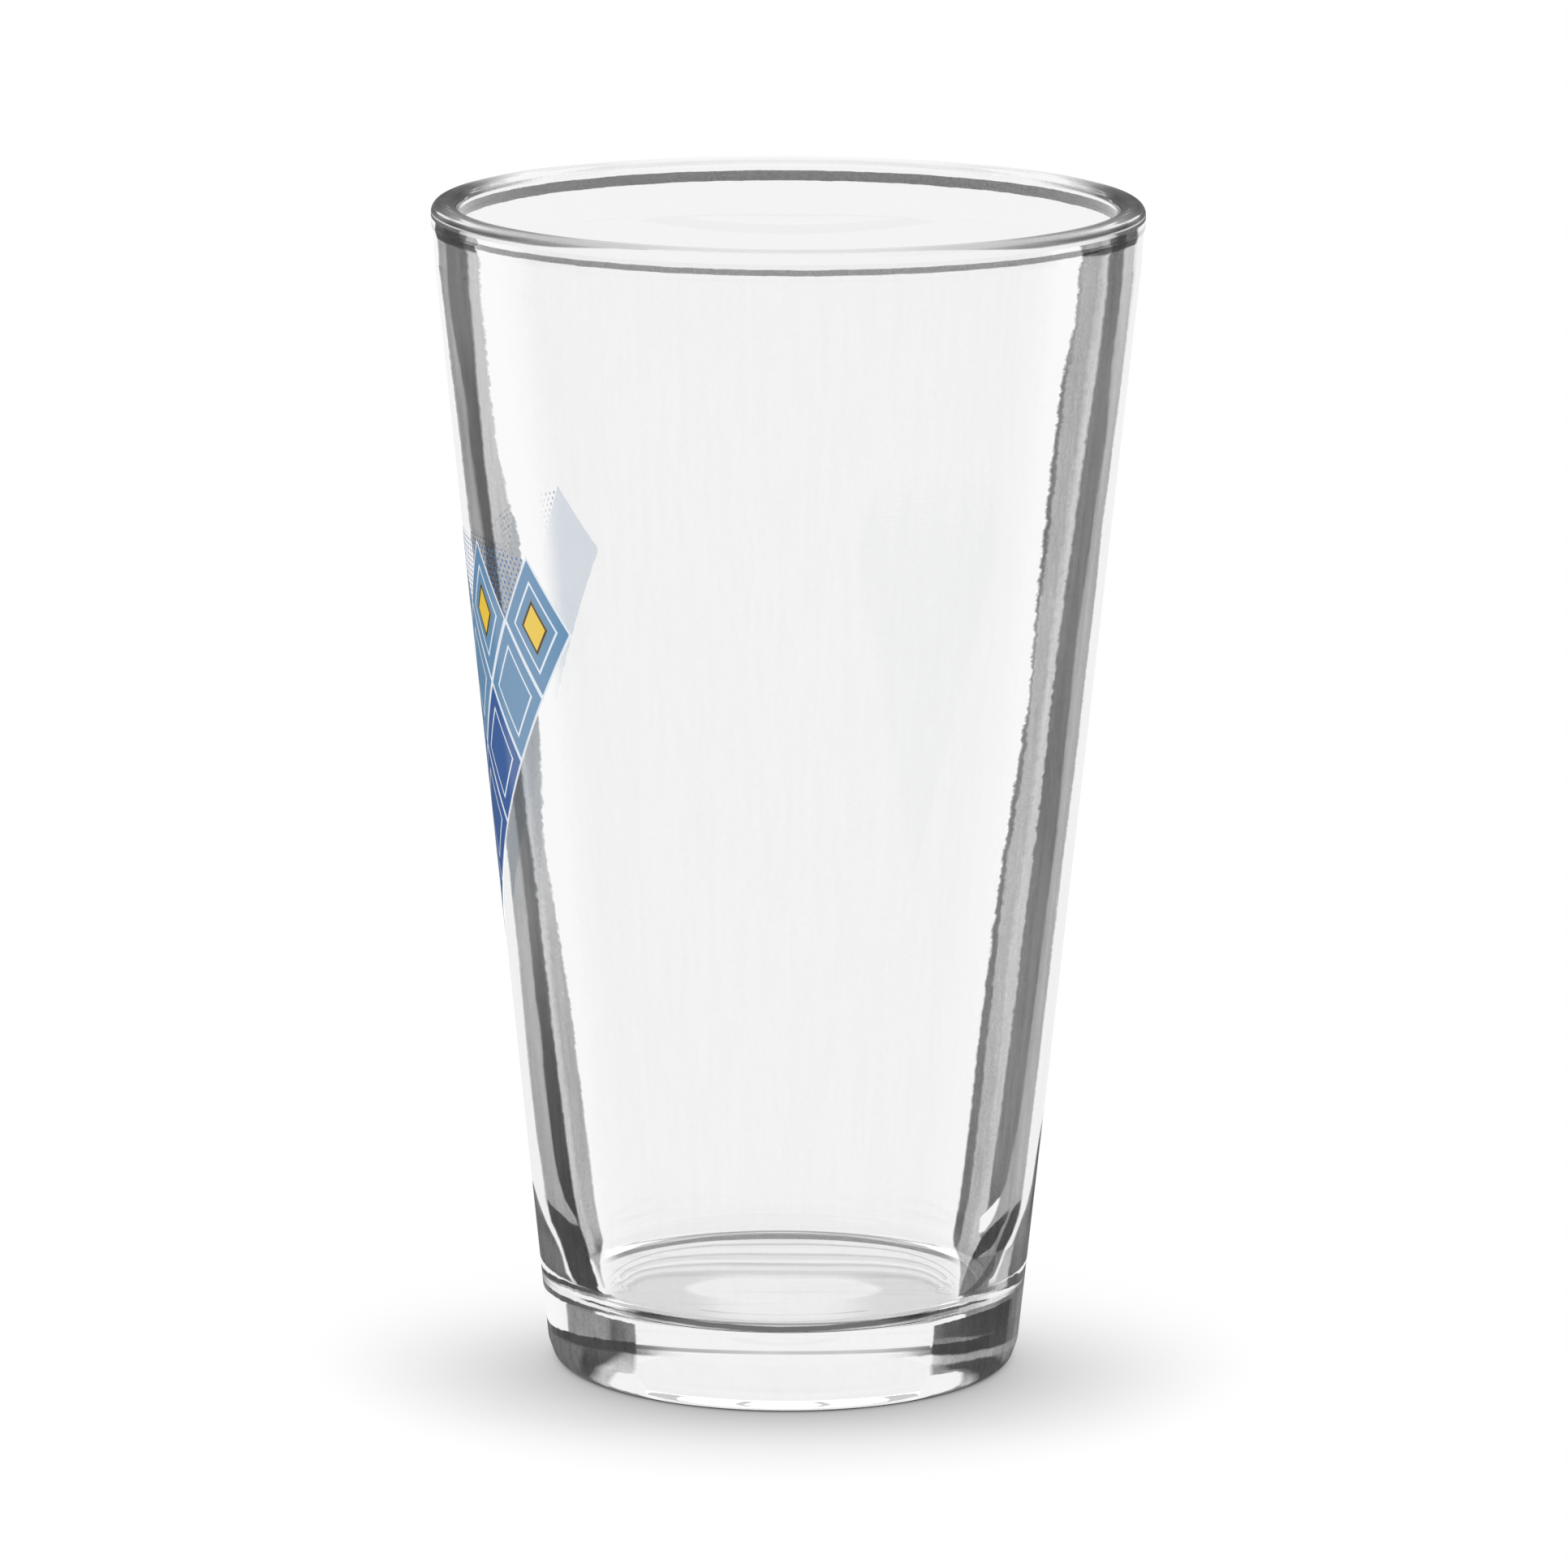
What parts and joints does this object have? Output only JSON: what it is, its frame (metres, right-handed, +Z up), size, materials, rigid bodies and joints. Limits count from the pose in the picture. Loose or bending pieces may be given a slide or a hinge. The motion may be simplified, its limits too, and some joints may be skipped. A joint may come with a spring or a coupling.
{
  "type": "pint glass",
  "caption": "Tall tapered drinking glass with a rounded rim bead, thick clear base and a blue and yellow lozenge print on one side.",
  "frame": {"origin": "centre of the ring that the glass stands on, on the table plane", "axes": "+Z up along the glass's axis; the middle of the print faces -X"},
  "size_m": [0.089, 0.089, 0.148],
  "materials": {
    "clear_glass": "polished, clear and colourless",
    "sky_blue_ink": "cured ink film, satin",
    "deep_blue_ink": "cured ink film, satin",
    "yellow_ink": "cured ink film, satin"
  },
  "bodies": {
    "root": {"glass_tumbler": "clear_glass", "print_lozenge_1_1": "sky_blue_ink", "print_lozenge_1_2": "sky_blue_ink", "print_lozenge_1_3": "sky_blue_ink", "print_lozenge_1_4": "sky_blue_ink", "print_lozenge_1_5": "sky_blue_ink", "print_lozenge_2_1": "sky_blue_ink", "print_lozenge_2_2": "sky_blue_ink", "print_lozenge_2_3": "sky_blue_ink", "print_lozenge_2_4": "sky_blue_ink", "print_lozenge_3_1": "deep_blue_ink", "print_lozenge_3_2": "deep_blue_ink", "print_lozenge_3_3": "deep_blue_ink", "print_lozenge_4_1": "deep_blue_ink", "print_lozenge_4_2": "deep_blue_ink", "print_lozenge_5_1": "deep_blue_ink", "print_diamond_1": "yellow_ink", "print_diamond_2": "yellow_ink", "print_diamond_3": "yellow_ink", "print_diamond_4": "yellow_ink", "print_diamond_5": "yellow_ink"}
  },
  "joints": []
}
